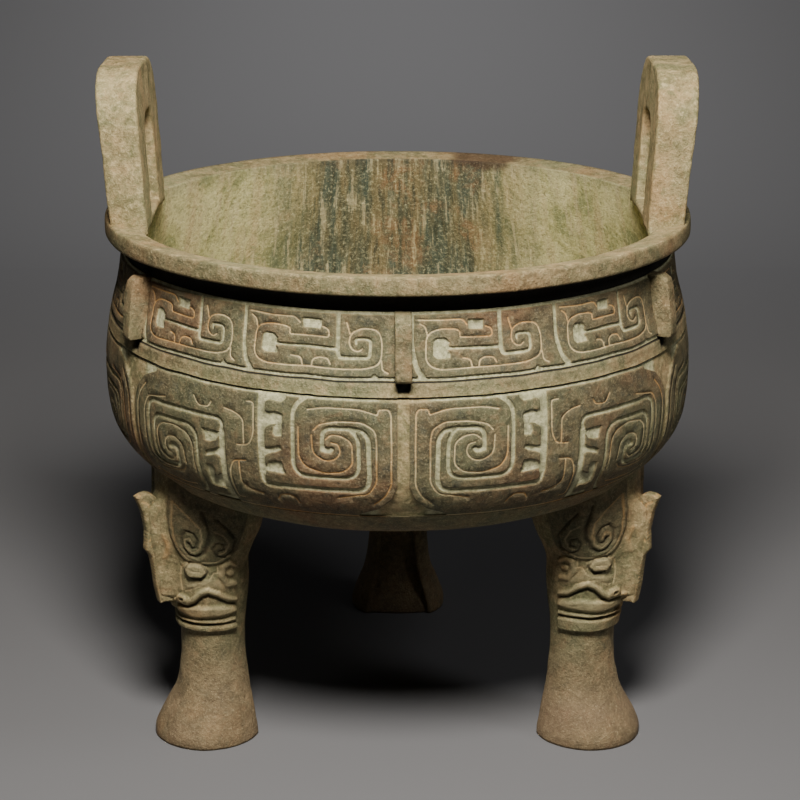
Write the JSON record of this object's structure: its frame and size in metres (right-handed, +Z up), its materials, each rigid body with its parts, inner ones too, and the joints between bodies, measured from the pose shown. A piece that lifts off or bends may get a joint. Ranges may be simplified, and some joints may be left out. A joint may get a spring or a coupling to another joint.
{
  "type": "bronze ding vessel",
  "caption": "Round-bellied cast bronze cauldron on three hoofed mask legs, with two upright loop handles on its rim and two bands of sunken geometric ornament",
  "frame": {"origin": "on the floor, under the middle of the bowl", "axes": "+Z up, front towards -Y, handles at +X and -X"},
  "size_m": [0.3564, 0.3632, 0.4011],
  "materials": {
    "cast_bronze": "old cast bronze under a mottled brown and pale green patina"
  },
  "bodies": {
    "root": {"vessel": "cast_bronze"}
  },
  "joints": []
}
